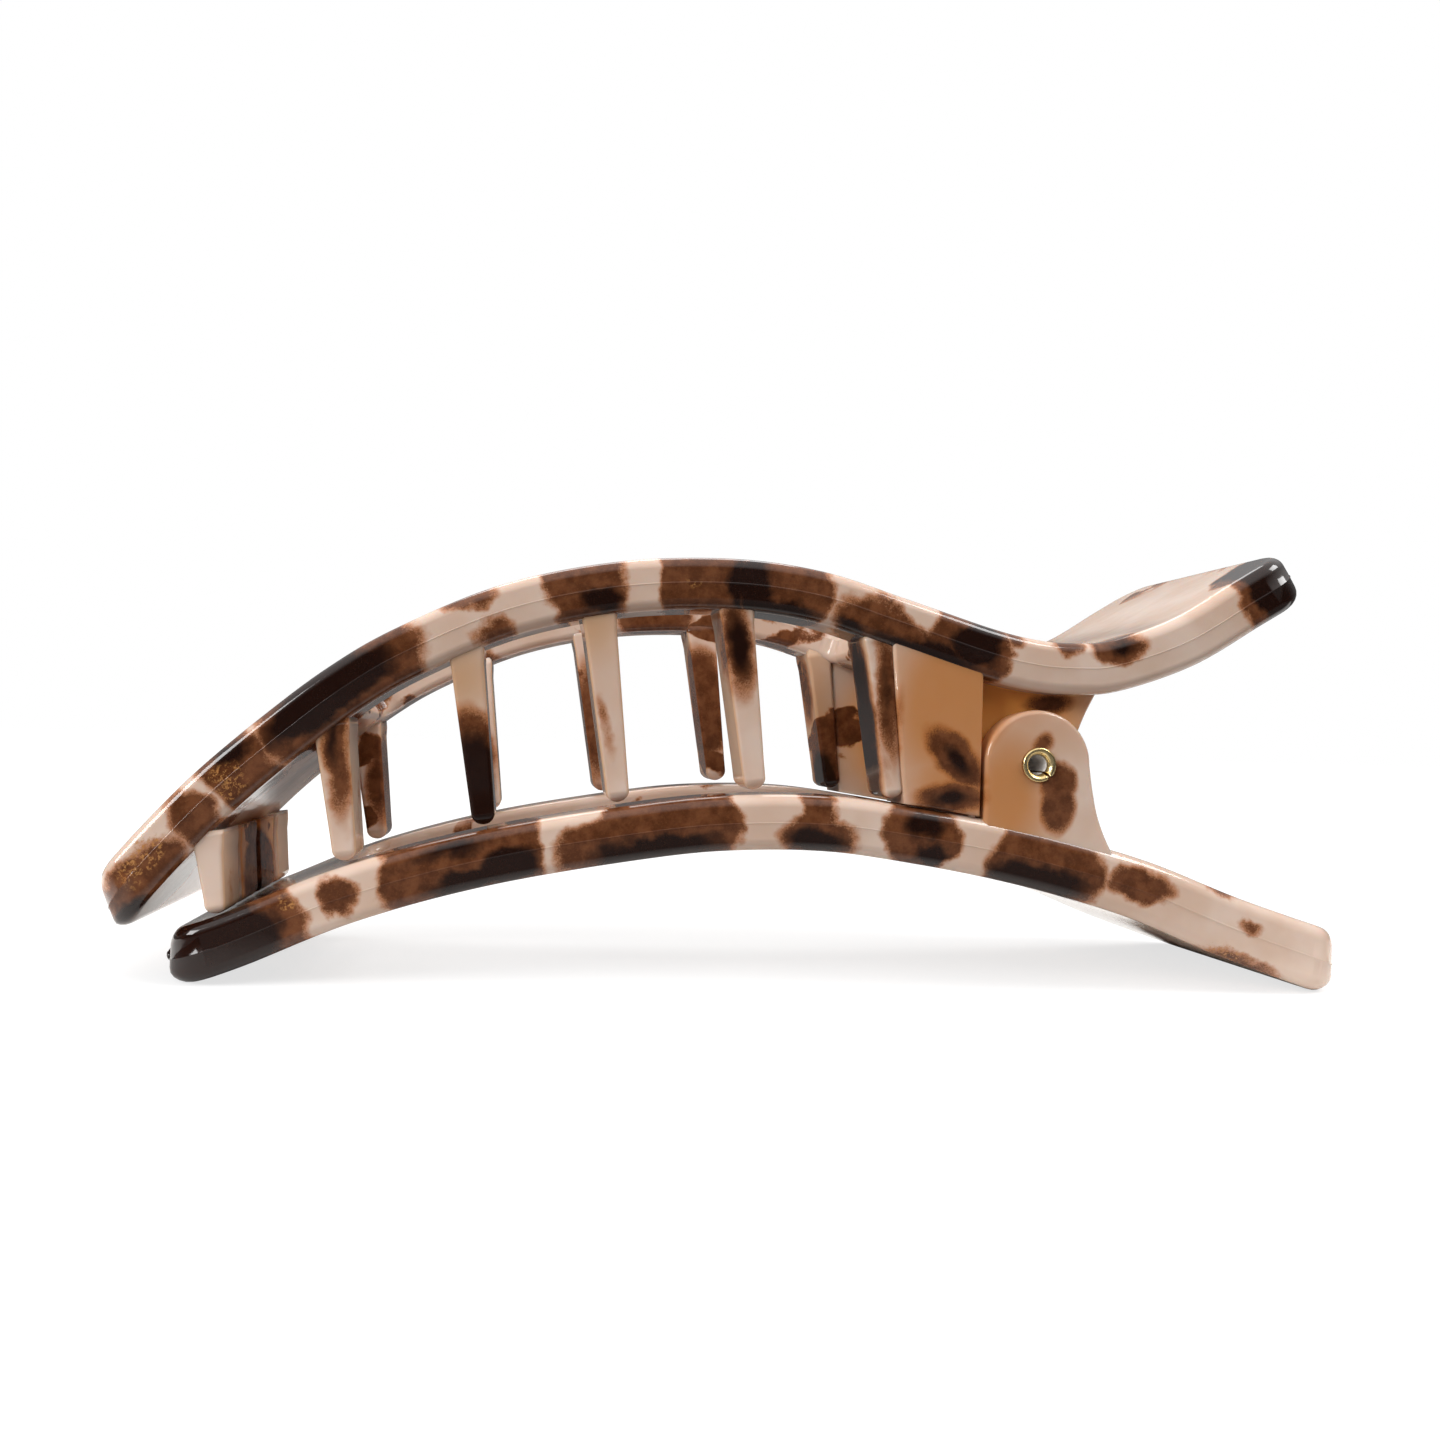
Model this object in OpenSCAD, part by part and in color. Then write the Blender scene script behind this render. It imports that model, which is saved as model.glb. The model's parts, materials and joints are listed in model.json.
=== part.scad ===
// Claw clip in moulded plastic: a toothed upper jaw and a plain lower jaw,
// hinged on a rolled metal tube and held shut by a torsion spring.
// X runs from the jaw tips (-X) to the thumb ends (+X), Y runs across the clip, Z is up.

/* [Overall] */
// Width of the clip
clip_w = 28; // [26:0.5:34]
// Width of one side rail
rail_w = 6.3; // [5.9:0.1:7.2]
// Radius of the corners seen from above
corner_r = 4; // [0.5:0.1:5]

/* [Upper jaw] */
// Thickness at the tip
upper_t = 4.7; // [3.6:0.1:5.2]
// Thickness added by the end of the thumb lever
upper_gain = 0.3; // [0:0.1:0.8]
// Slant of the tip's end face
tip_rake = 22; // [0:1:30]

/* [Lower jaw] */
// Thickness at the tip
lower_t = 5; // [4:0.1:5.6]
// Thickness added by the end of the tail
lower_gain = 1.1; // [0:0.1:1.4]
// Slant of the end faces
lower_rake = 24; // [0:1:30]

/* [Teeth] */
// Width of a tooth where it leaves the jaw
tooth_root = 3.2; // [2.4:0.1:3.6]
// Width of a tooth near its rounded tip
tooth_tip = 2.1; // [1.4:0.1:2.4]
// Lean of the teeth towards the hinge
tooth_lean = 7.5; // [3:0.5:9]
// Gap between the teeth and the lower jaw
bite_gap = 0.5; // [0.3:0.05:0.8]
// Width across the clip of a tooth under the tip plate
comb_tooth_w = 6.2; // [3:0.1:6.4]
// Width across the clip of the single centre tooth
centre_tooth_w = 4; // [3:0.1:6]

/* [Hinge] */
// Distance of the hinge line from the middle of the clip
pin_x = 26.6; // [26.2:0.1:27]
// Height of the hinge line
pin_z = 21.2; // [20.9:0.1:21.5]
// Outer diameter of the rolled hinge tube
tube_d = 2.6; // [2.2:0.1:3]
// Bore of the hinge tube
tube_bore = 2; // [1.4:0.1:2]
// Diameter of the tube's flared ends
flare_d = 3.2; // [3.2:0.1:3.8]
// Width of the seam that runs along the tube
seam_w = 0.25; // [0.1:0.05:0.4]
// Radius of the lower jaw's hinge lugs
lower_lug_r = 5.1; // [4.6:0.1:5.2]
// Radius of the upper jaw's hinge lugs
upper_lug_r = 4.5; // [3.8:0.1:4.6]
// Thickness of a lower hinge lug
lug_t = 2.5; // [2:0.1:2.8]
// Side play between the lugs
side_play = 0.25; // [0.2:0.05:0.4]

/* [Spring] */
// Diameter of the spring wire
wire_d = 1.1; // [0.8:0.1:1.2]
// Turns of the coil
coil_turns = 10; // [4:1:12]

/* [Hidden] */
near_teeth = [for (k = [1:6]) str("near_tooth_", k)];
far_teeth = [for (k = [1:6]) str("far_tooth_", k)];
comb_teeth = [for (k = [1:2]) str("comb_tooth_", k)];

// Middle line of each jaw seen from the side, from its tip to its thumb end.
upper_line = [
    [-57.1, 6.4], [-52.6, 11.9], [-47.9, 17], [-42.5, 21.9], [-37.2, 26.2], [-31.7, 29.7],
    [-22.8, 33.8], [-12.9, 36.2], [-2.9, 36.9], [5.4, 36.1], [12.9, 34], [21.3, 31.5],
    [26.1, 30.5], [30, 30.3], [34, 30.7], [40.8, 33.2], [47.3, 37.2], [52.5, 40.4]
];
lower_line = [
    [-52.1, 1.8], [-46.2, 3.9], [-36.2, 8.1], [-24, 11.6], [-9.4, 14.3], [-0.8, 15.2],
    [7.7, 15.2], [16, 14.2], [22.8, 13.1], [29.8, 11.6], [37.5, 9.5], [46.8, 6], [58, 2.4]
];
// Control points at which each window starts and ends.
upper_window = [4, 10];
lower_window = [2, 8];
// Tip positions of the side teeth, from the jaw's tip to the hinge.
tooth_x = [-47.3, -36.7, -24.6, -12.6, -0.1, 12.6];
comb_y = [-1, 1] * (comb_tooth_w + (clip_w - 2 * rail_w - 2 * comb_tooth_w) / 3) / 2;

steps = 6;
half_w = clip_w / 2;
window_half = half_w - rail_w;
lug_inset = 0.3;
lug_out = half_w - lug_inset;
lug_in = lug_out - lug_t;
upper_lug_out = lug_in - side_play;
upper_lug_in = window_half + 0.5;
play = 0.02;
running_play = 0.05;
step_gap = 0.35;
plastic = [0.84, 0.73, 0.65];
brown = [0.42, 0.24, 0.14];
$fn = 64;

// Curves
function unit(v) = v / norm(v);
function span_point(a, b, c, d, t) =
    (2 * b + (c - a) * t + (2 * a - 5 * b + 4 * c - d) * t * t + (3 * b - a - 3 * c + d) * t * t * t) / 2;
function control(p, i) =
    i < 0 ? 2 * p[0] - p[1] :
    i >= len(p) ? 2 * p[len(p) - 1] - p[len(p) - 2] : p[i];
function curve(p) = concat(
    [for (i = [0:len(p) - 2], k = [0:steps - 1])
        span_point(control(p, i - 1), p[i], p[i + 1], control(p, i + 2), k / steps)],
    [p[len(p) - 1]]
);
function along(c, i) = unit(c[min(i + 1, len(c) - 1)] - c[max(i - 1, 0)]);
function up_from(c, i) = let (a = along(c, i)) [-a.y, a.x];
function thickness(c, i, t, gain) = t + gain * pow(i / (len(c) - 1), 3);
function edge(c, i, side, t, gain) = c[i] + up_from(c, i) * side * thickness(c, i, t, gain) / 2;
// Corner of a slanted end face: the top edge stops short and the bottom edge reaches further.
function end_corner(c, i, side, t, gain, rake) =
    let (h = thickness(c, i, t, gain) / 2, out = i == 0 ? -1 : 1)
    edge(c, i, side, t, gain) - along(c, i) * out * side * h * tan(rake);
function fillet(a, p, b, r) =
    let (
        u = unit(a - p), w = unit(b - p), half = acos(u * w) / 2,
        c = p + unit(u + w) * r / sin(half),
        s = p + u * r / tan(half) - c, e = p + w * r / tan(half) - c,
        start = atan2(s.y, s.x), turn = (atan2(e.y, e.x) - start + 540) % 360 - 180
    )
    [for (k = [0:6]) c + r * [cos(start + turn * k / 6), sin(start + turn * k / 6)]];

upper_curve = curve(upper_line);
lower_curve = curve(lower_line);

// Outline of a whole jaw with rounded end corners.
function jaw_outline(c, t, gain, rake_tip, rake_end, r_top, r_bottom) =
    let (
        last = len(c) - 1, skip = 3,
        top = [for (i = [skip:last - skip]) edge(c, i, 1, t, gain)],
        bottom = [for (i = [last - skip:-1:skip]) edge(c, i, -1, t, gain)],
        tip_top = end_corner(c, 0, 1, t, gain, rake_tip),
        tip_bottom = end_corner(c, 0, -1, t, gain, rake_tip),
        end_top = end_corner(c, last, 1, t, gain, rake_end),
        end_bottom = end_corner(c, last, -1, t, gain, rake_end)
    )
    concat(
        fillet(tip_bottom, tip_top, top[0], r_top), top,
        fillet(top[len(top) - 1], end_top, end_bottom, r_top),
        fillet(end_top, end_bottom, bottom[0], r_bottom), bottom,
        fillet(bottom[len(bottom) - 1], tip_bottom, tip_top, r_bottom)
    );
upper_outline = jaw_outline(upper_curve, upper_t, upper_gain, tip_rake, 0, 1.1, 1.1);
lower_outline = jaw_outline(lower_curve, lower_t, lower_gain, lower_rake, lower_rake, 1.2, 1.9);
// Stretch of a jaw between two control points.
function stretch(c, from, to, t, gain) = concat(
    [for (i = [from * steps:to * steps]) edge(c, i, 1, t, gain)],
    [for (i = [to * steps:-1:from * steps]) edge(c, i, -1, t, gain)]
);
function upper_stretch(from, to) = stretch(upper_curve, from, to, upper_t, upper_gain);
function lower_stretch(from, to) = stretch(lower_curve, from, to, lower_t, lower_gain);
lower_top = [for (i = [0:len(lower_curve) - 1]) edge(lower_curve, i, 1, lower_t, lower_gain)];
upper_middle = [for (i = [0:len(upper_curve) - 1]) upper_curve[i]];

// Shared shapes
module slab(points, from, to) {
    translate([0, to, 0])
        rotate([90, 0, 0])
            linear_extrude(to - from) polygon(points);
}
module across(from, to) {
    translate([0, to, 0])
        rotate([90, 0, 0])
            linear_extrude(to - from) children();
}
module pin_bore(d) {
    translate([pin_x, half_w + 2, pin_z])
        rotate([90, 0, 0])
            cylinder(d = d, h = clip_w + 4);
}
// Seen from above: a bar of the clip's full width with rounded corners.
module plan_blank(x_from, x_to) {
    inner = half_w - corner_r;
    linear_extrude(60)
        union() {
            translate([x_from, -inner]) square([x_to - x_from, 2 * inner]);
            translate([x_from + corner_r, -half_w]) square([x_to - x_from - 2 * corner_r, clip_w]);
            for (x = [x_from + corner_r, x_to - corner_r], y = [-inner, inner])
                translate([x, y]) circle(corner_r);
        }
}
function reach_min(p) = min([for (q = p) q.x]);
function reach_max(p) = max([for (q = p) q.x]);
upper_reach = [reach_min(upper_outline), reach_max(upper_outline)];
lower_reach = [reach_min(lower_outline), reach_max(lower_outline)];

// Upper jaw
module upper_tip_plate() upper_end(0);
module thumb_lever() upper_end(1);
module upper_end(side) {
    color(plastic)
        intersection() {
            difference() {
                slab(upper_outline, -half_w, half_w);
                slab(window_cut(upper_curve, upper_window[side], side), -clip_w, clip_w);
            }
            plan_blank(upper_reach[0], upper_reach[1]);
        }
}
// Region beyond a cut at a control point, on the window's side of it.
function window_cut(c, at, side) =
    let (
        p = c[at * steps],
        n = up_from(c, at * steps) * 80,
        way = side == 0 ? [200, 0] : [-200, 0]
    )
    [p - n, p + n, p + n + way, p - n + way];
module upper_rail_near() upper_rail(-half_w, -window_half);
module upper_rail_far() upper_rail(window_half, half_w);
module upper_rail(from, to) {
    color(plastic) slab(upper_stretch(upper_window[0], upper_window[1]), from, to);
}

// Hinge lugs
step_x = pin_x - lower_lug_r - step_gap;
function rest_on_lower(x) = lookup(x, lower_top) + bite_gap;
lug_front = [tooth_x[5] + tooth_tip / 2 + 0.25, tooth_x[5] - 0.3];
module upper_lug_web(to) {
    polygon([
        [lug_front[1], 33.5], [lug_front[0], rest_on_lower(lug_front[0])],
        [min(to, step_x), rest_on_lower(step_x)], [min(to, step_x), 31]
    ]);
}
module upper_lug_ring() {
    union() {
        upper_lug_web(step_x);
        translate([pin_x, pin_z]) circle(upper_lug_r);
        polygon([
            [step_x, 31], [step_x, rest_on_lower(step_x)], [pin_x, pin_z - upper_lug_r], [pin_x, pin_z],
            [pin_x + 4.4, pin_z + 0.9], [pin_x + 5.1, pin_z + 3], [pin_x + 5.9, pin_z + 5],
            [pin_x + 6.9, pin_z + 7], [pin_x + 7.8, 30.4]
        ]);
    }
}
module upper_lug() {
    color(brown)
        difference() {
            union() {
                across(-upper_lug_out, -upper_lug_in) upper_lug_ring();
                across(-lug_out, -upper_lug_out) upper_lug_web(step_x);
            }
            slab(upper_outline, -clip_w, clip_w);
            pin_bore(tube_d + 2 * running_play);
        }
}
module upper_lug_near() upper_lug();
module upper_lug_far() mirror([0, 1, 0]) upper_lug();

// Rear edge of the lower lug: down from the round top, then flaring out into the tail.
function lug_rear(u) = [pin_x + lower_lug_r - 0.05 + 0.6 * u + 3.2 * pow(u, 4), pin_z + 0.5 - 10.5 * u];
module lower_lug() {
    foot = pin_z - 10;
    color(plastic)
        difference() {
            union() {
                across(-lug_out, -lug_in) translate([pin_x, pin_z]) circle(lower_lug_r);
                across(-lug_out, -lug_in)
                    polygon(concat(
                        [[pin_x - lower_lug_r, foot], [pin_x - lower_lug_r, pin_z], [pin_x, pin_z + 2]],
                        [for (k = [0:10]) lug_rear(k / 10)]
                    ));
            }
            slab(lower_outline, -clip_w, clip_w);
            pin_bore(tube_d + 2 * play);
        }
}
module lower_lug_near() lower_lug();
module lower_lug_far() mirror([0, 1, 0]) lower_lug();

// Lower jaw
module lower_end(side) {
    color(plastic)
        intersection() {
            difference() {
                slab(lower_outline, -half_w, half_w);
                slab(window_cut(lower_curve, lower_window[side], side), -clip_w, clip_w);
            }
            plan_blank(lower_reach[0], lower_reach[1]);
        }
}
module lower_tip_plate() lower_end(0);
module lower_tail() lower_end(1);
module lower_rail_near() lower_rail(-half_w, -window_half);
module lower_rail_far() lower_rail(window_half, half_w);
module lower_rail(from, to) {
    color(plastic) slab(lower_stretch(lower_window[0], lower_window[1]), from, to);
}

// Teeth
module tooth(x, from, to) {
    tip_z = rest_on_lower(x);
    rise = (lookup(x - 2, upper_middle) - tip_z) / cos(tooth_lean);
    r = tooth_tip / 2;
    color(brown)
        difference() {
            translate([x, 0, tip_z + r])
                rotate([0, -tooth_lean, 0])
                    across(from, to)
                        union() {
                            circle(r);
                            polygon([[-r, 0], [r, 0], [tooth_root / 2, rise], [-tooth_root / 2, rise]]);
                        }
            slab(upper_outline, -clip_w, clip_w);
        }
}
module side_tooth(k, near) {
    if (near) tooth(tooth_x[k - 1], -half_w, -window_half);
    else tooth(tooth_x[k - 1], window_half, half_w);
}
module comb_tooth(k) tooth(tooth_x[0], comb_y[k - 1] - comb_tooth_w / 2, comb_y[k - 1] + comb_tooth_w / 2);
module centre_tooth() tooth(tooth_x[1] - 1.6, -centre_tooth_w / 2, centre_tooth_w / 2);

// Rolled tube with flared ends and an open seam
module hinge_tube() {
    reach = lug_out + 0.3;
    color("goldenrod")
        difference() {
            translate([pin_x, 0, pin_z])
                rotate([90, 0, 0])
                    union() {
                        cylinder(d = tube_d, h = 2 * reach, center = true);
                        for (s = [-1, 1])
                            translate([0, 0, s * (reach - 0.15)])
                                cylinder(d = flare_d, h = 0.3, center = true);
                    }
            pin_bore(tube_bore);
            translate([pin_x, 0, pin_z])
                rotate([0, 50, 0])
                    translate([0, -clip_w, -seam_w / 2]) cube([flare_d, 2 * clip_w, seam_w]);
        }
}

// Torsion spring: its coil sits on the tube and its legs push the lever and the tail apart
coil_r = tube_d / 2 + 0.6 + wire_d / 2;
coil_pitch = wire_d + 0.15;
coil_half = coil_turns * coil_pitch / 2;
leg_up = [[coil_r + 0.15, 1.2], [coil_r + 0.6, 3], [coil_r + 1.4, 4.7], [coil_r + 1.7, 5.9]];
leg_down = [[coil_r + 0.15, -1.2], [coil_r + 0.5, -3], [coil_r + 1.2, -4.8], [coil_r + 1.6, -6.6]];
coil_steps = 20;
spring_path = concat(
    [for (k = [3:-1:0]) [leg_up[k].x, -coil_half, leg_up[k].y]],
    [for (k = [0:coil_turns * coil_steps])
        let (a = 360 * k / coil_steps)
        [coil_r * cos(a), coil_pitch * k / coil_steps - coil_half, -coil_r * sin(a)]],
    [for (k = [0:3]) [leg_down[k].x, coil_half, leg_down[k].y]]
);
function path_dir(p, i) = unit(p[min(i + 1, len(p) - 1)] - p[max(i - 1, 0)]);
module torsion_spring() {
    sides = 8;
    count = len(spring_path);
    points = [for (i = [0:count - 1], k = [0:sides - 1])
        let (
            d = path_dir(spring_path, i),
            n = unit(cross(d, [0, 1, 0.001])),
            b = cross(d, n),
            a = 360 * k / sides
        )
        spring_path[i] + (n * cos(a) + b * sin(a)) * wire_d / 2];
    walls = [for (i = [0:count - 2], k = [0:sides - 1])
        [i * sides + k, i * sides + (k + 1) % sides, (i + 1) * sides + (k + 1) % sides, (i + 1) * sides + k]];
    ends = [
        [for (k = [sides - 1:-1:0]) k],
        [for (k = [0:sides - 1]) (count - 1) * sides + k]
    ];
    color("silver")
        translate([pin_x, 0, pin_z])
            polyhedron(points, concat(walls, ends), convexity = 10);
}

upper_tip_plate();
upper_rail_near();
upper_rail_far();
thumb_lever();
upper_lug_near();
upper_lug_far();
centre_tooth();
for (k = [1:6]) {
    side_tooth(k, true);
    side_tooth(k, false);
}
for (k = [1:2])
    comb_tooth(k);
lower_tip_plate();
lower_rail_near();
lower_rail_far();
lower_tail();
lower_lug_near();
lower_lug_far();
hinge_tube();
torsion_spring();
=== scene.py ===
"""Claw clip in tortoiseshell plastic: two moulded jaws, a rolled hinge tube and a torsion spring."""
import json
import math

import bmesh
import bpy
import numpy as np
from mathutils import Matrix, Vector


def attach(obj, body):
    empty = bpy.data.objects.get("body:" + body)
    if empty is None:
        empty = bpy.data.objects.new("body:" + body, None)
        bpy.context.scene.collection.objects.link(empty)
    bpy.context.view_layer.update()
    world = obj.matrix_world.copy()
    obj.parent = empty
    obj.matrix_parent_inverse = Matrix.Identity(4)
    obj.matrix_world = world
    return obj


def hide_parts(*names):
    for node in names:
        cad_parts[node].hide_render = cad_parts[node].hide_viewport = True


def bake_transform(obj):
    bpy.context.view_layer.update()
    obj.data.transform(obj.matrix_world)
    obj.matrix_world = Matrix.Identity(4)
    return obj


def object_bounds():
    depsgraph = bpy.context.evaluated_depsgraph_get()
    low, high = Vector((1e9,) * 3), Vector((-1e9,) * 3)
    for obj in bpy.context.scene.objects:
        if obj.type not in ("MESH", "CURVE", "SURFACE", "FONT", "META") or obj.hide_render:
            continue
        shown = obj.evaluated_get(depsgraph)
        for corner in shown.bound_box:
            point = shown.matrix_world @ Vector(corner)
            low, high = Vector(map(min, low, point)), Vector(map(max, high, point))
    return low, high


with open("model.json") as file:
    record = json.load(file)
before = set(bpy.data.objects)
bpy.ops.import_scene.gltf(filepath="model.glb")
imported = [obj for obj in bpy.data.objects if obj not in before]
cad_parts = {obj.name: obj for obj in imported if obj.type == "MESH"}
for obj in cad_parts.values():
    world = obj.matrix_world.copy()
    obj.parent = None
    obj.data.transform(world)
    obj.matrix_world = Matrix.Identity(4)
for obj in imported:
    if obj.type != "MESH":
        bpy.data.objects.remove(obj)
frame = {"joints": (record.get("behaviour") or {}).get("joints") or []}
cad_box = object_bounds()

# Sizes are in millimetres in the jaws' frame, and MM turns them into metres.
MM = 0.001
HALF_W = round(cad_box[1][1] / MM, 3)
RAIL_W = 6.3
WINDOW_HALF = HALF_W - RAIL_W
PIN_X, _, PIN_Z = (v / MM for v in frame["joints"][0]["pos_m"])
# How far the front teeth and lugs, the side teeth and the centre tooth end above the lower jaw.
TIP_CLEARANCE = 0.15
SIDE_CLEARANCE = 0.45
CENTRE_CLEARANCE = 0.5
SPAN_STEPS = 24

# Middle line of each jaw seen from the side, from its tip to its thumb end.
UPPER_LINE = [
    (-57.1, 6.4), (-52.6, 11.9), (-47.9, 17), (-42.5, 21.9), (-37.2, 26.2), (-31.7, 29.7),
    (-22.8, 33.8), (-12.9, 36.2), (-2.9, 36.9), (5.4, 36.1), (12.9, 34), (21.3, 31.5),
    (26.1, 30.5), (30, 30.3), (34, 30.7), (40.8, 33.2), (47.3, 37.2), (52.5, 40.4),
]
LOWER_LINE = [
    (-52.1, 1.8), (-46.2, 3.9), (-36.2, 8.1), (-24, 11.6), (-9.4, 14.3), (-0.8, 15.2),
    (7.7, 15.2), (16, 14.2), (22.8, 13.1), (29.8, 11.6), (37.5, 9.5), (46.8, 6), (58, 2.4),
]


def catmull_rom(points, steps):
    """Smooth open curve through the points, with this many steps to a span."""
    p = np.array(points, float)
    run = [2 * p[0] - p[1], *p, 2 * p[-1] - p[-2]]
    out = []
    for a, b, c, d in zip(run, run[1:], run[2:], run[3:]):
        for k in range(steps):
            t = k / steps
            out.append((2 * b + (c - a) * t + (2 * a - 5 * b + 4 * c - d) * t * t
                        + (3 * b - a - 3 * c + d) * t ** 3) / 2)
    out.append(p[-1])
    return np.array(out)


class Spine:
    """Middle line of a jaw, with the jaw's thickness along it."""

    def __init__(self, points, thickness, gain):
        self.p = catmull_rom(points, SPAN_STEPS)
        self.part = np.arange(len(self.p)) / (len(self.p) - 1)
        step = np.linalg.norm(np.diff(self.p, axis=0), axis=1)
        self.s = np.concatenate([[0], np.cumsum(step)])
        tangent = np.gradient(self.p, self.s, axis=0)
        self.tangent = tangent / np.linalg.norm(tangent, axis=1)[:, None]
        self.length = float(self.s[-1])
        self.thickness, self.gain = thickness, gain
        self.control_s = self.s[::SPAN_STEPS]

    def half(self, s):
        """Half the jaw's thickness at arc length s."""
        return (self.thickness + self.gain * np.interp(s, self.s, self.part) ** 3) / 2

    def at(self, s, t):
        """x and z at arc length s, t above the middle line, which runs on straight past its ends."""
        s = np.asarray(s, float)
        over = s - np.clip(s, 0, self.length)
        x = np.interp(s, self.s, self.p[:, 0])
        z = np.interp(s, self.s, self.p[:, 1])
        tx = np.interp(s, self.s, self.tangent[:, 0])
        tz = np.interp(s, self.s, self.tangent[:, 1])
        size = np.hypot(tx, tz)
        tx, tz = tx / size, tz / size
        return x + over * tx - tz * t, z + over * tz + tx * t

    def surface_z(self, x, side):
        """Height of the jaw's top (side 1) or underside (side -1) at x."""
        along, height = self.at(self.s, side * self.half(self.s))
        return float(np.interp(x, along, height))


UPPER = Spine(UPPER_LINE, 4.7, 0.3)
LOWER = Spine(LOWER_LINE, 5.0, 1.1)


# ---------------------------------------------------------------- mesh helpers
def rounded_loop(a0, a1, b0, b1, r, steps=10):
    """Corner-rounded rectangle, anticlockwise."""
    out = []
    low_a, high_a, low_b, high_b = a0 + r, a1 - r, b0 + r, b1 - r
    corners = ((high_a, low_b, -90), (high_a, high_b, 0), (low_a, high_b, 90), (low_a, low_b, 180))
    for ca, cb, start in corners:
        for k in range(steps + 1):
            a = math.radians(start + 90 * k / steps)
            out.append((ca + r * math.cos(a), cb + r * math.sin(a)))
    return out


def arc(ca, cb, r, degrees):
    return [(ca + r * math.cos(math.radians(a)), cb + r * math.sin(math.radians(a))) for a in degrees]


def circle_loop(ca, cb, r):
    return arc(ca, cb, r, np.arange(0, 360, 7.5))


def inset(loop, d):
    """Moves an anticlockwise loop inwards by d, and a clockwise one outwards."""
    p = np.array(loop)
    before, after = p - np.roll(p, 1, 0), np.roll(p, -1, 0) - p
    n0 = np.stack([-before[:, 1], before[:, 0]], 1)
    n1 = np.stack([-after[:, 1], after[:, 0]], 1)
    n0 /= np.linalg.norm(n0, axis=1)[:, None] + 1e-12
    n1 /= np.linalg.norm(n1, axis=1)[:, None] + 1e-12
    n = n0 + n1
    n /= np.linalg.norm(n, axis=1)[:, None] + 1e-12
    scale = 1 / np.maximum(0.5, (n * n0).sum(1))
    return p + n * (d * scale)[:, None]


def skin(bm, rings):
    """Joins each closed ring of points to the next with four-sided faces."""
    n = len(rings[0])
    for low, high in zip(rings, rings[1:]):
        for k in range(n):
            after = (k + 1) % n
            bm.faces.new((low[k], low[after], high[after], high[k]))


# Steps of the thin parting ridge round a jaw: how far each is set in, and its height from the middle.
RIDGE = ((0.03, 0.09), (-0.02, 0.03), (-0.02, -0.03), (0.03, -0.09))


def pillow(outer, holes, t0, t1, r, draft=0.0, steps=6, hole_r=None, end_r=None, ridge=False):
    """A flat plate with rounded edges. Returns a bmesh with (a, b, t) coordinates.

    end_r gives the top and bottom edge radius at the plate's two ends, where its outline faces along a.
    """
    bm = bmesh.new()
    mid = (t0 + t1) / 2
    rims = {}
    for which, loop in [(0, outer)] + [(i + 1, h[::-1]) for i, h in enumerate(holes)]:
        rr = r if which == 0 or hole_r is None else hole_r
        r_top = np.full(len(loop), rr)
        r_low = np.full(len(loop), rr)
        if which == 0 and end_r:
            around = np.roll(np.array(loop), -1, 0) - np.roll(np.array(loop), 1, 0)
            facing = np.abs(around[:, 1]) / np.linalg.norm(around, axis=1)
            r_top += (end_r[0] - rr) * facing ** 2
            r_low += (end_r[1] - rr) * facing ** 2
        profile = []
        for k in range(steps + 1):
            a = math.radians(90 * k / steps)
            profile.append((r_top * (1 - math.sin(a)), t1 - r_top + r_top * math.cos(a)))
        for d, t in RIDGE if ridge else ((0, 0),):
            profile.append((d + 0 * r_top, mid + t + 0 * r_top))
        for k in range(steps, -1, -1):
            a = math.radians(90 * k / steps)
            profile.append((r_low * (1 - math.sin(a)), t0 + r_low - r_low * math.cos(a)))
        rings = []
        for d, t in profile:
            slope = math.tan(math.radians(draft)) * abs(t - mid)
            places = inset(loop, d + slope)
            rings.append([bm.verts.new((a, b, height)) for (a, b), height in zip(places, t)])
        skin(bm, rings)
        rims[which] = (rings[0], rings[-1])
    for side in (0, 1):
        edges = []
        for ring in (r_[side] for r_ in rims.values()):
            for k in range(len(ring)):
                edges.append(bm.edges.get((ring[k], ring[(k + 1) % len(ring)])))
        bmesh.ops.triangle_fill(bm, edges=edges, use_beauty=True, use_dissolve=False)
    bmesh.ops.recalc_face_normals(bm, faces=bm.faces)
    return bm


def smooth_object(bm, name, *materials):
    """Turns the bmesh into a smooth-shaded object in the scene, and frees the bmesh."""
    bmesh.ops.recalc_face_normals(bm, faces=bm.faces)
    mesh = bpy.data.meshes.new(name)
    bm.verts.index_update()
    bm.to_mesh(mesh)
    bm.free()
    for face in mesh.polygons:
        face.use_smooth = True
    for material in materials:
        mesh.materials.append(material)
    obj = bpy.data.objects.new(name, mesh)
    bpy.context.scene.collection.objects.link(obj)
    return obj


def finish_piece(bm, name, body, nodes, materials, figure):
    """Makes a piece that rides on a body. figure holds each vertex's place in the tortoiseshell pattern."""
    obj = smooth_object(bm, name, *materials)
    attribute = obj.data.attributes.new("figure", "FLOAT_VECTOR", "POINT")
    attribute.data.foreach_set("vector", np.asarray(figure, np.float32).ravel())
    normals = obj.modifiers.new("weighted", "WEIGHTED_NORMAL")
    normals.keep_sharp = False
    normals.weight = 80
    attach(obj, body)
    if nodes:
        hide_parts(*nodes)


def coordinates(bm):
    bm.verts.ensure_lookup_table()
    return np.array([v.co for v in bm.verts], float)


def move_to(bm, co):
    for v, c in zip(bm.verts, co):
        v.co = c


# ---------------------------------------------------------------- jaws
PLAN_CORNER = 4.0
WINDOW_CORNER = 1.6
# Draft of the plates' sides in degrees, and where the flat plates are cut so that they bend smoothly:
# across at every step of SLICE, and lengthwise at each SLICE_Y.
DRAFT = 2.5
SLICE = 0.8
SLICE_Y = (-10.8, 0.0, 10.8)
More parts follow.
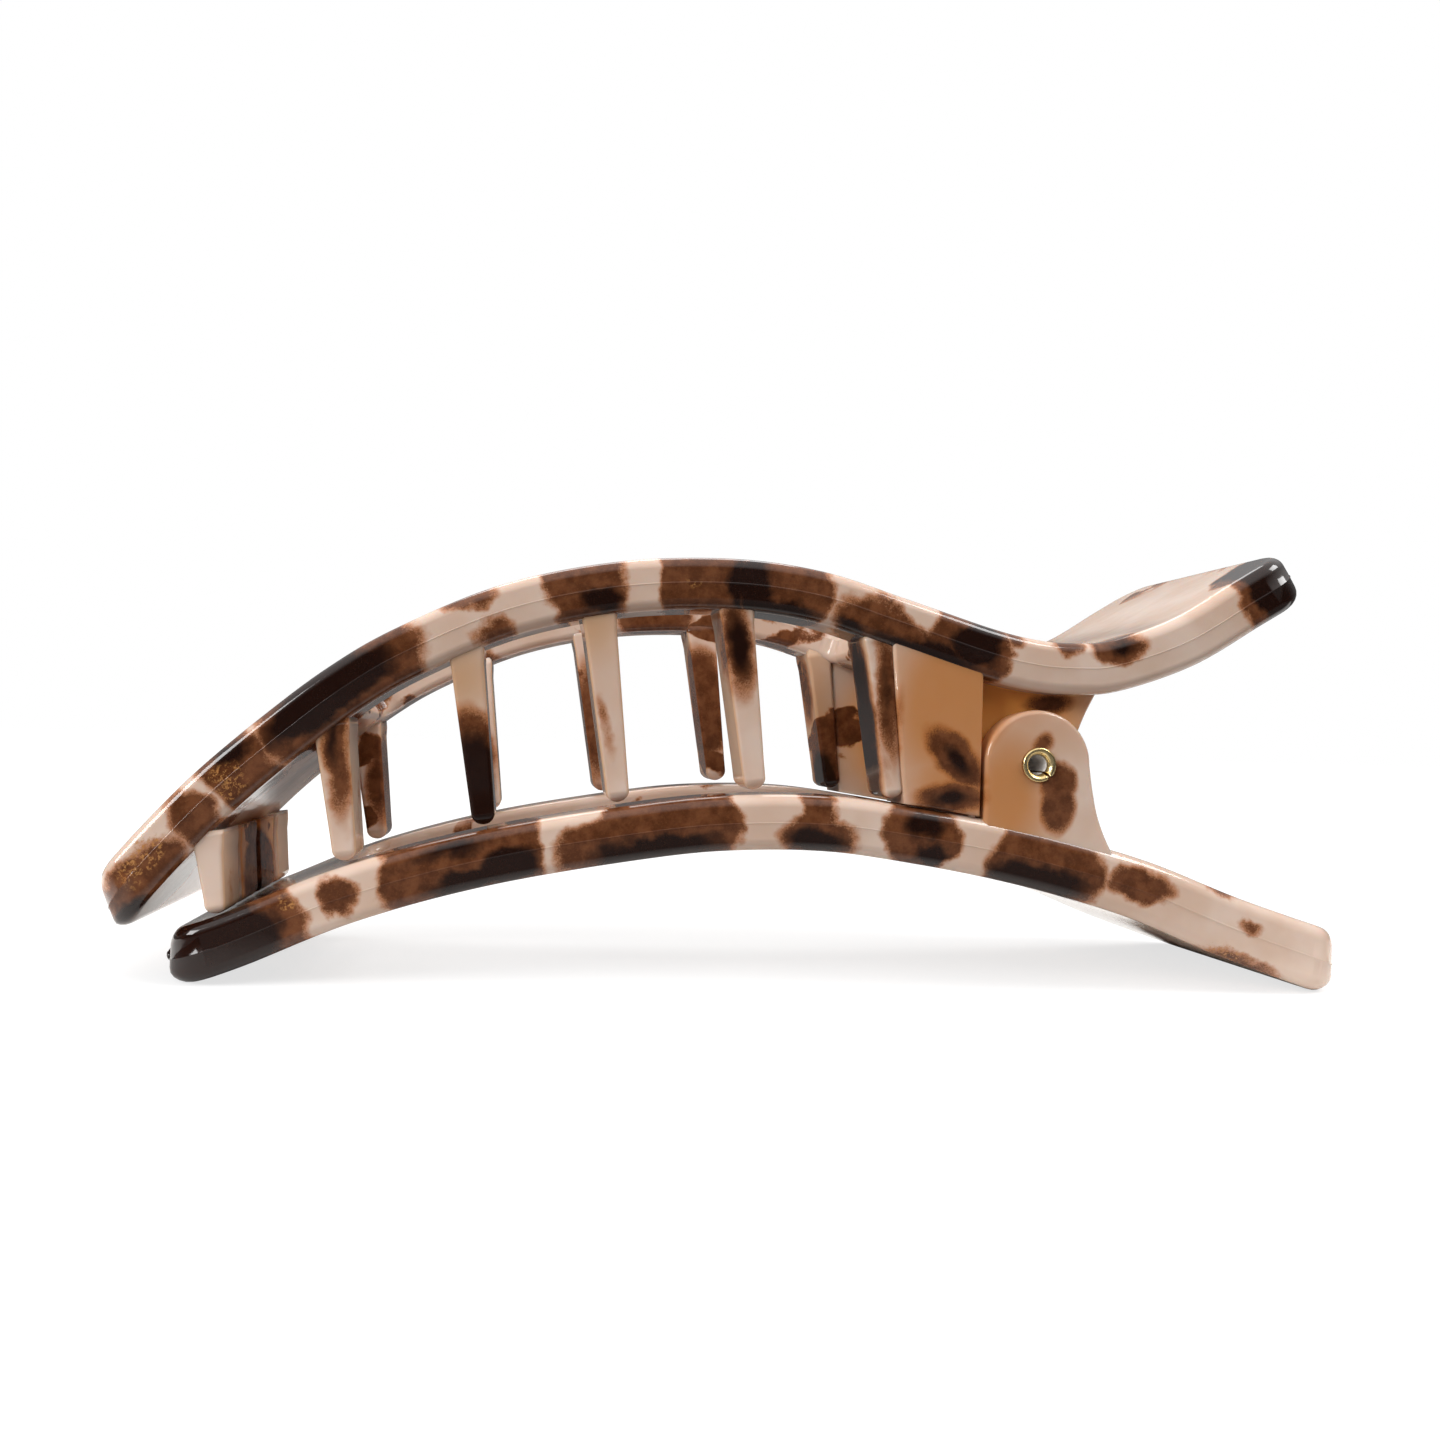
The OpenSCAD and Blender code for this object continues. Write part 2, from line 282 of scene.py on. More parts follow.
# How far the slant of an end face reaches along the jaw, and the height and share of its bottom edge's slant.
END_ZONE = 7.0
LOW_EDGE = 1.1
LOW_EDGE_SLANT = 0.25


def slice_mesh(bm, place, normal):
    geom = list(bm.verts) + list(bm.edges) + list(bm.faces)
    bmesh.ops.bisect_plane(bm, geom=geom, dist=1e-5, plane_co=place, plane_no=normal)


def jaw_plate(name, spine, window, rakes, edge_r, end_r, longer, body, nodes, material):
    """One jaw: a flat rounded plate with its window, thickened, raked at both ends and bent along its spine.

    longer is how far the tip reaches beyond the spine, and rakes are the slants of the two end faces.
    """
    length = spine.length
    outer = rounded_loop(0, length, -HALF_W, HALF_W, PLAN_CORNER, 20)
    s0, s1 = (spine.control_s[k] for k in window)
    hole = rounded_loop(s0, s1, -WINDOW_HALF, WINDOW_HALF, WINDOW_CORNER, 6)
    nominal = spine.thickness / 2
    bm = pillow(outer, [hole], -nominal, nominal, edge_r, draft=DRAFT, hole_r=0.8, end_r=end_r, ridge=True)
    for s in np.arange(SLICE, length, SLICE):
        slice_mesh(bm, (s, 0, 0), (1, 0, 0))
    for y in SLICE_Y:
        slice_mesh(bm, (0, y, 0), (0, 1, 0))
    s, y, t = coordinates(bm).T.copy()
    t = t * spine.half(np.clip(s, 0, length)) / nominal
    near_tip = np.clip(1 - s / END_ZONE, 0, 1) ** 2
    near_end = np.clip(1 - (length - s) / END_ZONE, 0, 1) ** 2
    low = LOW_EDGE - nominal
    slant = np.where(t < low, low + (t - low) * LOW_EDGE_SLANT, t)
    tip_slope, end_slope = (math.tan(math.radians(rake)) for rake in rakes)
    s = s - longer * near_tip + slant * tip_slope * near_tip - slant * end_slope * near_end
    x, z = spine.at(s, t)
    z = np.maximum(z, 0.0)
    move_to(bm, np.stack([x, y, z], 1) * MM)
    finish_piece(bm, name, body, nodes, [material], np.stack([s, y, t], 1))


# The teeth and lugs take their pattern from this far below the jaws', so that the two never meet.
PATTERN_DROP = 500.0
TOOTH_R = 1.05
TOOTH_ROOT_HALF = 1.55
TOOTH_CORNER = 0.38
TOOTH_LEAN = math.radians(7.5)
# About how long a tooth is, and how far it runs on into the upper jaw.
TOOTH_REACH = 12
TOOTH_BURIED = 1.3
# How much less a tooth's half depth is at its rounded tip, and just above that, than at its root.
TIP_LESS = 1.15
STEM_LESS = 0.12
# How much a tooth widens where it meets the jaw, how far from its top that starts and how soon it is full.
FLARE = 0.12
FLARE_START = 2.0
FLARE_RUN = 0.7


def tooth_rings(r, top, half_d, slim):
    """Height, half width and half depth of the tooth at each step from its rounded tip to its root."""
    heights = [r * (1 - math.cos(math.radians(a))) for a in (8, 20, 32, 44, 56, 68, 80, 90)]
    heights += list(np.linspace(r, top, 14)[1:])
    for h in heights:
        rise = (h - r) / (top - r)
        if h < r:
            w = math.sqrt(max(0.0, r * r - (r - h) ** 2))
            d = half_d - TIP_LESS * (1 - w / r)
        else:
            w = r + (TOOTH_ROOT_HALF * slim - r) * rise
            d = half_d - STEM_LESS * (1 - rise)
        w += FLARE * min(1.0, max(0.0, (h - (top - FLARE_START)) / FLARE_RUN)) ** 2
        yield h, w, d


def tooth(name, x_tip, y0, y1, material, clear, slim=1.0):
    """A tooth from its rounded tip, clear above the lower jaw, up into the upper jaw."""
    r = TOOTH_R * slim
    tip_z = LOWER.surface_z(x_tip, 1) + clear
    root_x = x_tip - math.tan(TOOTH_LEAN) * TOOTH_REACH
    top = (UPPER.surface_z(root_x, -1) - tip_z) / math.cos(TOOTH_LEAN) + TOOTH_BURIED
    bm = bmesh.new()
    rings = []
    for h, w, d in tooth_rings(r, top, (y1 - y0) / 2, slim):
        loop = rounded_loop(-w, w, -d, d, min(TOOTH_CORNER, w * 0.9), 4)
        rings.append([bm.verts.new((a, b, h)) for a, b in loop])
    skin(bm, rings)
    bm.faces.new(rings[0][::-1])
    bm.faces.new(rings[-1])
    a, b, h = coordinates(bm).T.copy()
    x = x_tip + a * math.cos(TOOTH_LEAN) - (h - r) * math.sin(TOOTH_LEAN)
    z = tip_z + r + (h - r) * math.cos(TOOTH_LEAN) + a * math.sin(TOOTH_LEAN)
    y = (y0 + y1) / 2 + b
    move_to(bm, np.stack([x, y, z], 1) * MM)
    figure = np.stack([x, y, z - PATTERN_DROP], 1)
    finish_piece(bm, f"{name}_piece", "upper_jaw", [name], [material], figure)


def side_plate(outline, holes, y0, y1, r):
    """A plate that stands along the clip, drawn in x and z, between y0 and y1. Returns it with its figure."""
    bm = pillow(anticlockwise(outline), holes, y0, y1, r, steps=5)
    x, z, y = coordinates(bm).T.copy()
    move_to(bm, np.stack([x, y, z], 1) * MM)
    return bm, np.stack([x, y, z - PATTERN_DROP], 1)


def anticlockwise(loop):
    area = sum(a[0] * b[1] - b[0] * a[1] for a, b in zip(loop, loop[1:] + loop[:1]))
    return loop if area > 0 else loop[::-1]


def smooth_path(points):
    return [tuple(p) for p in catmull_rom(points, 5)]


# ---------------------------------------------------------------- tortoiseshell plastic
def node(tree, kind, **values):
    n = tree.nodes.new(kind)
    for key, value in values.items():
        setattr(n, key, value)
    return n


def link(tree, a, b):
    tree.links.new(a, b)


def maths(tree, op, a, b=None):
    n = node(tree, "ShaderNodeMath", operation=op)
    for i, v in enumerate((a, b)):
        if v is None:
            continue
        if isinstance(v, (int, float)):
            n.inputs[i].default_value = v
        else:
            link(tree, v, n.inputs[i])
    return n.outputs[0]


def vector(tree, op, a, b=None):
    n = node(tree, "ShaderNodeVectorMath", operation=op)
    for i, v in enumerate((a, b)):
        if v is None:
            continue
        if isinstance(v, tuple):
            n.inputs[i].default_value = v
        else:
            link(tree, v, n.inputs[i])
    return n.outputs["Value"] if op == "LENGTH" else n.outputs["Vector"]


def ramp(tree, value, low, high):
    """Goes smoothly from 0 to 1 as the value goes from low to high."""
    n = node(tree, "ShaderNodeMapRange", interpolation_type="SMOOTHSTEP")
    link(tree, value, n.inputs["Value"])
    n.inputs["From Min"].default_value = low
    n.inputs["From Max"].default_value = high
    return n.outputs["Result"]


def mix(tree, factor, a, b):
    n = node(tree, "ShaderNodeMix", data_type="RGBA")
    link(tree, factor, n.inputs["Factor"])
    for name, v in (("A", a), ("B", b)):
        socket = [s for s in n.inputs if s.name == name and s.type == "RGBA"][0]
        if isinstance(v, tuple):
            socket.default_value = (*v, 1)
        else:
            link(tree, v, socket)
    return [s for s in n.outputs if s.type == "RGBA"][0]


def noise(tree, where, scale, detail, rough, colour=False):
    n = node(tree, "ShaderNodeTexNoise")
    link(tree, where, n.inputs["Vector"])
    n.inputs["Scale"].default_value = scale
    n.inputs["Detail"].default_value = detail
    n.inputs["Roughness"].default_value = rough
    return n.outputs["Color"] if colour else n.outputs["Fac"]


def separate(tree, where):
    n = node(tree, "ShaderNodeSeparateXYZ")
    link(tree, where, n.inputs[0])
    return n.outputs


def add(tree, a, b):
    return maths(tree, "ADD", a, b)


def times(tree, a, b):
    return maths(tree, "MULTIPLY", a, b)


def spread(tree, value, middle, gain):
    """gain times how far the value is from middle."""
    return times(tree, maths(tree, "SUBTRACT", value, middle), gain)


def drift(tree, where, scale, detail, rough, size):
    """A wandering offset of up to half of size each way."""
    way = vector(tree, "SUBTRACT", noise(tree, where, scale, detail, rough, colour=True), (0.5, 0.5, 0.5))
    return vector(tree, "MULTIPLY", way, (size,) * 3)


def bumps(tree, shader, height, strength, distance):
    bump = node(tree, "ShaderNodeBump")
    bump.inputs["Strength"].default_value = strength
    bump.inputs["Distance"].default_value = distance
    link(tree, height, bump.inputs["Height"])
    link(tree, bump.outputs[0], shader.inputs["Normal"])


def new_material(name):
    mat = bpy.data.materials.new(name)
    mat.use_nodes = True
    tree = mat.node_tree
    tree.nodes.clear()
    out = node(tree, "ShaderNodeOutputMaterial")
    shader = node(tree, "ShaderNodeBsdfPrincipled")
    link(tree, shader.outputs[0], out.inputs[0])
    return mat, tree, shader


def blotch_group():
    """Depth inside one blotch, in millimetres, joined with the depth so far."""
    g = bpy.data.node_groups.new("blotch", "ShaderNodeTree")
    for name in ("So far", "Tilt", "Least"):
        g.interface.new_socket(name=name, in_out="INPUT", socket_type="NodeSocketFloat")
    for name in ("Figure", "Centre", "Radii"):
        g.interface.new_socket(name=name, in_out="INPUT", socket_type="NodeSocketVector")
    g.interface.new_socket(name="Depth", in_out="OUTPUT", socket_type="NodeSocketFloat")
    a, b = g.nodes.new("NodeGroupInput"), g.nodes.new("NodeGroupOutput")
    moved = vector(g, "SUBTRACT", a.outputs["Figure"], a.outputs["Centre"])
    turn = node(g, "ShaderNodeVectorRotate", rotation_type="Y_AXIS")
    link(g, moved, turn.inputs["Vector"])
    link(g, a.outputs["Tilt"], turn.inputs["Angle"])
    scaled = vector(g, "DIVIDE", turn.outputs["Vector"], a.outputs["Radii"])
    depth = maths(g, "SUBTRACT", 1.0, vector(g, "LENGTH", scaled))
    depth = maths(g, "MULTIPLY", depth, a.outputs["Least"])
    link(g, maths(g, "MAXIMUM", depth, a.outputs["So far"]), b.inputs["Depth"])
    return g


BLOTCH = blotch_group()


def blotches(tree, where, rows, so_far=None):
    """Joins the blotches in rows: centre, radii and tilt in degrees, in the figure's millimetres."""
    depth = so_far
    for centre, radii, tilt in rows:
        n = node(tree, "ShaderNodeGroup", node_tree=BLOTCH)
        if depth is None:
            n.inputs["So far"].default_value = -9.0
        else:
            link(tree, depth, n.inputs["So far"])
        link(tree, where, n.inputs["Figure"])
        n.inputs["Centre"].default_value = centre
        n.inputs["Radii"].default_value = radii
        n.inputs["Tilt"].default_value = math.radians(tilt)
        n.inputs["Least"].default_value = min(radii)
        depth = n.outputs["Depth"]
    return depth


CREAM = (0.62, 0.445, 0.345)
CREAM_PALE = (0.68, 0.53, 0.44)
FEATHER = (0.40, 0.135, 0.035)
BROWN = (0.095, 0.030, 0.011)
BROWN_PALE = (0.17, 0.060, 0.024)
BROWN_GRAIN = (0.26, 0.10, 0.035)
DEEP = (0.012, 0.0042, 0.003)
# AMBER_GLOW, HONEY_GLOW, ORANGE_GLOW and RUST_GLOW are painted glow: the warm colour that light shining
# through the plastic gives it in shaded places, put into the base colour.
AMBER_GLOW = (0.50, 0.20, 0.055)
HONEY_GLOW = (0.50, 0.27, 0.115)
ORANGE_GLOW = (0.92, 0.40, 0.10)
RUST_GLOW = (0.62, 0.24, 0.05)
GOLD = (0.44, 0.20, 0.065)

# One tiny blotch in the middle of a jaw's tip, where a pattern has no rows of its own.
TIP_SPOT = [((0, 0, 0), (1, 1, 1), 0)]


def loose_figure(tree, figure, bent, clear_rows):
    """Depth inside a loose general pattern, which fades out on the near side and in the clear rows."""
    patches = noise(tree, vector(tree, "MULTIPLY", figure, (0.85, 1.0, 1.4)), 0.145, 2, 0.45)
    depth = spread(tree, patches, 0.555, 26.0)
    away = ramp(tree, separate(tree, figure)["Y"], -9.5, -5.0)
    depth = add(tree, depth, spread(tree, away, 1.0, 9.0))
    depth = add(tree, depth, spread(tree, noise(tree, figure, 1.6, 4, 0.6), 0.5, 1.6))
    if clear_rows:
        depth = maths(tree, "MINIMUM", depth, times(tree, blotches(tree, bent, clear_rows), -1.0))
    return depth


# Cream plastic with a painted glow of light shining through it, in the rows it is given and on faces that
# look along the clip.
def cream_and_glow(tree, figure, glow_rows, glow_depth, side_glow, glow_tint):
    cream = mix(tree, ramp(tree, noise(tree, figure, 0.16, 3, 0.5), 0.35, 0.7), CREAM, CREAM_PALE)
    painted_glow = times(tree, ramp(tree, blotches(tree, figure, glow_rows), -2.2, 2.6), glow_depth)
    if side_glow:
        facing = separate(tree, node(tree, "ShaderNodeTexCoord").outputs["Normal"])
        sideways = ramp(tree, maths(tree, "ABSOLUTE", facing["X"]), 0.45, 0.9)
        painted_glow = maths(tree, "MAXIMUM", painted_glow, times(tree, sideways, side_glow))
    return mix(tree, painted_glow, cream, glow_tint)


def tortoise(name, rows, wander_by=1.0, glow_depth=1.0, side_glow=0.0, glow_tint=AMBER_GLOW, shine=0.42):
    """Cream plastic with brown blotches. rows are ellipsoids in the figure's coordinates.

    wander_by is how ragged the blotches are. The two numbers after it are how far the cream turns to the
    tint, a painted glow of light shining through the plastic, in its rows and on faces that look along the
    clip. shine is the specular level.
    """
    mat, tree, shader = new_material(name)
    figure = node(tree, "ShaderNodeAttribute", attribute_name="figure").outputs["Vector"]
    bent = vector(tree, "ADD", figure, drift(tree, figure, 0.33, 2, 0.5, 2.7 * wander_by))
    bent = vector(tree, "ADD", bent, drift(tree, figure, 1.9, 4, 0.65, 0.7 * wander_by))
    depth = blotches(tree, bent, rows["brown"], loose_figure(tree, figure, bent, rows.get("clear")))
    deep = blotches(tree, bent, rows["deep"])
    gold = blotches(tree, bent, rows.get("gold", TIP_SPOT))
    grain = noise(tree, figure, 7.0, 3, 0.7)

    # The cream, with the painted glow of light shining through the plastic mixed in.
    cream = cream_and_glow(tree, figure, rows.get("painted_glow", TIP_SPOT), glow_depth, side_glow, glow_tint)
    colour = mix(tree, times(tree, ramp(tree, depth, -0.30, 0.20), 0.8), cream, FEATHER)
    brown = mix(tree, ramp(tree, noise(tree, figure, 0.75, 4, 0.62), 0.36, 0.66), BROWN, BROWN_PALE)
    brown = mix(tree, times(tree, ramp(tree, grain, 0.50, 0.75), 0.35), brown, BROWN_GRAIN)
    speckled = add(tree, depth, spread(tree, grain, 0.5, 0.9))
    colour = mix(tree, ramp(tree, speckled, 0.0, 0.50), colour, brown)
    flecks = ramp(tree, noise(tree, figure, 3.2, 4, 0.7), 0.50, 0.62)
    colour = mix(tree, times(tree, ramp(tree, gold, 0.0, 0.6), flecks), colour, GOLD)
    core = ramp(tree, maths(tree, "MINIMUM", depth, deep), -0.1, 0.7)
    colour = mix(tree, times(tree, core, 0.97), colour, DEEP)
    link(tree, colour, shader.inputs["Base Color"])

    seam = ramp(tree, maths(tree, "ABSOLUTE", separate(tree, figure)["Z"]), 0.05, 0.0)
    height = add(tree, times(tree, noise(tree, figure, 0.55, 3, 0.5), 0.9), times(tree, seam, 0.06))
    height = add(tree, height, times(tree, noise(tree, figure, 5.0, 2, 0.5), 0.02))
    bumps(tree, shader, height, 0.12, 0.0002)
    rough = add(tree, times(tree, noise(tree, figure, 0.9, 4, 0.6), 0.08), 0.05)
    link(tree, rough, shader.inputs["Roughness"])
    shader.inputs["IOR"].default_value = 1.49
    shader.inputs["Subsurface Weight"].default_value = 0.22
    shader.inputs["Subsurface Radius"].default_value = (1.6, 0.7, 0.35)
    shader.inputs["Subsurface Scale"].default_value = MM
    shader.inputs["Specular IOR Level"].default_value = shine
    shader.inputs["Coat Weight"].default_value = 0.08
    shader.inputs["Coat Roughness"].default_value = 0.03
    return mat


# Rows of blotches: centre, radii and tilt in degrees. On the jaws a place is arc length, y and height.
def upper_rows():
    brown = [
        ((3.4, -12, -1.3), (6.0, 9, 2.8), 0),
        ((11.3, -12, -0.6), (2.6, 5, 3.0), 0),
        ((16.8, -12, 0.2), (3.2, 6, 5.0), 0),
        ((28.0, -12, 0.2), (9.6, 6, 5.0), 0),
        ((41.6, -13, 2.2), (2.6, 4, 1.6), -15),
        ((42.8, -13, -1.6), (2.3, 4, 1.5), 15),
        ((51.7, -12, 0.6), (4.0, 6, 5.0), 12),
        ((62.4, -12, 0.0), (4.5, 6, 6.0), 0),
        ((69.8, -12, -0.3), (4.8, 6, 5.0), 0),
        ((80.3, -12, -1.5), (6.4, 6, 2.9), -14),
        ((87.5, -12, -0.4), (4.6, 6, 4.4), 0),
        ((91.8, -13, 1.9), (1.3, 3, 0.9), 0),
        ((97.8, -13, 2.0), (1.3, 3, 1.1), 0),
        ((103.0, -13, 1.7), (3.3, 3, 1.9), 0),
        ((120.6, -12, 0.0), (5.0, 5, 6.0), 0),
        ((60.3, 8, -0.8), (4.4, 3.5, 3.2), 0),
    ]
    deep = [
        ((27.0, -12, 0.5), (8.2, 6, 2.7), 0),
        ((53.0, -12, -0.9), (2.6, 6, 1.5), 0),
        ((66.8, -12, -0.2), (2.6, 6, 3.4), 0),
        ((70.0, -12, -2.0), (5.0, 6, 1.5), 0),
        ((84.0, -12, -1.8), (7.0, 6, 1.5), 0),
        ((88.4, -12, 0.2), (3.0, 6, 2.6), 0),
        ((76.6, -12, -1.8), (2.6, 6, 1.4), 0),
        ((0.8, -12, -1.9), (3.6, 8, 1.4), 0),
        ((17.5, -12, 1.4), (2.2, 6, 1.3), 0),
        ((121.0, -12, 0.3), (4.0, 8, 5.0), 0),
        ((103.4, -13, 1.7), (2.2, 3, 1.2), 0),
    ]
    gold = [
        ((5.6, -13, 0.3), (3.2, 4, 1.4), 0),
        ((15.6, -13, -0.3), (2.2, 4, 1.8), 0),
        ((61.5, -13, 0.2), (1.2, 4, 0.6), 0),
    ]
    clear = [
        ((9.0, 0, -2.6), (15, 11, 2.2), 0),
        ((111, 0, 2.8), (12, 10, 2.0), 0),
        ((46.8, 9, 0), (5.5, 5, 4), 0),
    ]
    return {"brown": brown, "deep": deep, "gold": gold, "clear": clear}


def lower_rows():
    brown = [
        ((5.2, -12, -0.4), (8.4, 8, 6.5), 0),
        ((16.4, -13, 0.1), (1.9, 4, 1.8), 0),
        ((25.2, -12, 0.2), (6.2, 6, 5.2), 22),
        ((31.6, -12, 0.3), (3.8, 5, 5.0), 0),
        ((40.0, -12, -1.2), (4.4, 6, 3.0), 0),
        ((44.6, -12, 0.0), (4.6, 6, 4.4), 0),
        ((49.8, -12, 0.2), (3.6, 5, 4.4), 0),
        ((60.0, -12, -1.4), (4.2, 5, 2.6), 0),
        ((60.0, -12, 1.6), (2.0, 5, 2.2), 0),
        ((69.8, -12, 0.2), (3.9, 5, 4.2), 14),
        ((82.2, -12, -0.3), (6.4, 6, 4.0), 4),
        ((91.2, -13, 0.2), (3.7, 3.2, 1.7), 8),
        ((99.3, -13, 2.9), (1.8, 3, 0.7), 0),
        ((102.9, -13.4, 0.8), (1.3, 2, 0.7), 20),
        ((103.8, -13, -2.9), (4.6, 3, 0.8), 0),
    ]
    deep = [
        ((4.0, -12, -0.4), (7.4, 8, 4.4), 0),
        ((28.0, -12, -1.6), (5.6, 6, 1.7), 0),
        ((31.4, -12, -1.0), (3.4, 6, 2.0), 0),
        ((27.0, -12, 1.6), (5.0, 6, 0.9), 0),
        ((45.0, -12, -1.7), (7.6, 6, 1.9), 0),
        ((60.0, -12, -1.7), (3.8, 6, 1.6), 0),
        ((70.0, -12, 1.2), (2.2, 6, 1.6), 0),
        ((71.0, -12, -1.6), (2.6, 6, 1.5), 0),
        ((81.5, -12, -1.5), (6.2, 6, 1.9), 0),
    ]
    gold = [((12.0, -13, 1.0), (1.2, 3, 1.2), 0), ((102.0, -13, -2.6), (4.0, 3, 0.9), 0)]
    clear = [((16.0, 0, 2.6), (14, 11, 1.6), 0)]
    return {"brown": brown, "deep": deep, "gold": gold, "clear": clear}


def lowered(x, y, z):
    """A place on the teeth and lugs, moved down to where they take their pattern."""
    return (x, y, z - PATTERN_DROP)


def tooth_rows():
    brown = [
        (lowered(-47.0, 0.0, 8.4), (3.4, 6.5, 4.2), 0),
        (lowered(-45.6, -10.8, 9.2), (1.1, 2.5, 3.8), 0),
        (lowered(-37.6, -13.4, 21.0), (1.25, 1.3, 6.8), 6),
        (lowered(-37.0, -10.0, 16.0), (0.9, 3.0, 7.0), 6),
        (lowered(-38.8, 0.0, 16.0), (2.4, 3.4, 6.2), 0),
        (lowered(-25.3, -11.5, 18.0), (3.2, 5.0, 8.0), 8),
        (lowered(-13.9, -14.0, 23.8), (0.6, 0.9, 2.7), 14),
        (lowered(-14.9, -10.4, 21.8), (0.9, 1.6, 7.8), 9),
        (lowered(-1.9, -12.0, 31.2), (1.6, 3.5, 5.0), 8),
        (lowered(12.1, -13.4, 27.6), (1.1, 1.4, 7.0), 6),
        (lowered(11.4, -10.4, 24.5), (1.7, 3.0, 12.0), 8),
        (lowered(-25.8, 10.5, 20.5), (2.0, 4.0, 6.0), 8),
        (lowered(-36.6, 10.5, 17.0), (2.0, 4.0, 6.0), 8),
        (lowered(-14.0, 9.5, 24.0), (1.8, 3.4, 8.0), 8),
        (lowered(-1.8, 9.0, 26.5), (2.8, 3.5, 7.2), 8),
        (lowered(11.6, 9.0, 20.0), (2.6, 3.4, 4.6), 8),
        (lowered(9.9, 11.0, 28.5), (1.3, 2.6, 4.5), 8),
    ]
    deep = [
        (lowered(-24.9, -11.5, 16.8), (3.0, 5.0, 7.0), 8),
        (lowered(-1.8, -12.6, 31.2), (1.3, 3.0, 3.6), 8),
        (lowered(11.2, -10.4, 24.0), (1.7, 3.0, 11.5), 8),
        (lowered(11.9, -12.6, 28.0), (0.5, 3.0, 4.5), 8),
        (lowered(-14.9, -10.4, 21.8), (0.9, 1.4, 7.0), 9),
        (lowered(-47.0, 1.0, 6.4), (2.6, 5.0, 1.3), 0),
        (lowered(11.8, 9.0, 19.2), (2.0, 3.2, 3.2), 8),
        (lowered(-37.9, -12.9, 22.0), (0.7, 2.8, 3.6), 6),
        (lowered(-38.8, 0.0, 14.0), (1.6, 3.0, 3.4), 0),
    ]
    # Painted glow of light shining through the plastic, on the comb and on the upper parts of several teeth.
    painted_glow = [
        (lowered(-48.2, 0.0, 13.0), (2.6, 7.0, 3.0), 0),
        (lowered(-27.0, -11.0, 27.5), (3.0, 5.0, 3.0), 0),
        (lowered(-15.6, -11.0, 33.0), (3.0, 5.0, 3.4), 0),
        (lowered(-38.2, -11.0, 22.0), (3.0, 5.0, 3.0), 0),
        (lowered(11.0, 9.0, 26.0), (2.4, 5.0, 9.0), 8),
    ]
    return {"brown": brown, "deep": deep, "painted_glow": painted_glow}


def hinge_rows():
    brown = [
        (lowered(18.5, -14, 21.7), (3.9, 4.5, 1.9), -46),
        (lowered(18.2, -14, 17.8), (3.6, 4.5, 1.6), 4),
        (lowered(28.6, -14, 19.4), (1.9, 2.6, 2.0), 0),
        (lowered(28.6, -14, 17.6), (1.7, 2.6, 2.8), 0),
        (lowered(26.9, -14, 23.1), (1.1, 2.5, 0.9), 0),
        (lowered(28.6, -11, 27.0), (2.4, 2.6, 1.0), 0),
        (lowered(12.6, -12, 22.0), (0.8, 3.0, 6.0), -6),
    ]
    deep = [(lowered(18.2, -14, 17.8), (2.4, 4.0, 1.0), 4), (lowered(18.7, -14, 21.4), (2.4, 4.0, 1.0), -46)]
    # Painted glow of light shining through the lugs where they lie in shade.
    painted_glow = [
        (lowered(18.2, -12, 26.5), (6.6, 6.0, 9.0), 0),
        (lowered(24.5, -10, 27.0), (8.0, 4.0, 9.0), 0),
        (lowered(17.8, -12, 19.6), (4.6, 4.0, 5.0), 0),
        (lowered(23.7, -14, 18.2), (4.6, 3.5, 7.0), 0),
        (lowered(22.0, 11, 24.0), (8.5, 6.0, 9.0), 0),
    ]
    return {"brown": brown, "deep": deep, "painted_glow": painted_glow}


UPPER_PLASTIC = tortoise("upper_tortoise", upper_rows())
LOWER_PLASTIC = tortoise("lower_tortoise", lower_rows())
# The teeth, comb and ring take their painted glow of light through the plastic in honey, rust and orange; the
# orange one brightens the shaded ring of the upper lugs.
TOOTH_PLASTIC = tortoise("tooth_tortoise", tooth_rows(), 0.6, 0.7, 0.6, HONEY_GLOW, 0.25)
COMB_PLASTIC = tortoise("comb_tortoise", tooth_rows(), 0.6, 1.0, 0.8, RUST_GLOW, 0.05)
HINGE_PLASTIC = tortoise("hinge_tortoise", hinge_rows(), 0.5, 0.9)
RING_PLASTIC = tortoise("ring_tortoise", hinge_rows(), 0.5, glow_tint=ORANGE_GLOW)


# ---------------------------------------------------------------- metal
def metal(name, colour, dark, roughness, scratch, metallic=1.0):
    """Drawn metal with faint stains. scratch is how fine its lines are along each axis."""
    mat, tree, shader = new_material(name)
    where = node(tree, "ShaderNodeTexCoord").outputs["Object"]
    lines = noise(tree, vector(tree, "MULTIPLY", where, scratch), 900, 4, 0.6)
    stain = noise(tree, where, 700, 3, 0.6)
    link(tree, mix(tree, ramp(tree, stain, 0.38, 0.72), colour, dark), shader.inputs["Base Color"])
    link(tree, add(tree, times(tree, lines, 0.22), roughness), shader.inputs["Roughness"])
    bumps(tree, shader, lines, 0.15, 0.00003)
    shader.inputs["Metallic"].default_value = metallic
    return mat


BRASS = metal("rolled_brass", (0.86, 0.68, 0.36), (0.60, 0.43, 0.17), 0.14, (1, 0.2, 1))
TUBE_INSIDE = metal("tube_inside", (0.93, 0.90, 0.88), (0.80, 0.76, 0.74), 0.45, (1, 60, 1), 0.1)
STEEL = metal("spring_wire", (0.66, 0.65, 0.63), (0.42, 0.40, 0.38), 0.22, (1, 1, 1))

# ---------------------------------------------------------------- build the jaws
jaw_plate("upper_moulding", UPPER, (4, 10), (31, 0), 1.0, (1.2, 1.4), 0.4, "upper_jaw",
          ["upper_tip_plate", "upper_rail_near", "upper_rail_far", "thumb_lever"], UPPER_PLASTIC)
jaw_plate("lower_moulding", LOWER, (2, 8), (21, 23), 1.1, (1.2, 1.9), 0.0, "lower_jaw",
          ["lower_tip_plate", "lower_rail_near", "lower_rail_far", "lower_tail"], LOWER_PLASTIC)

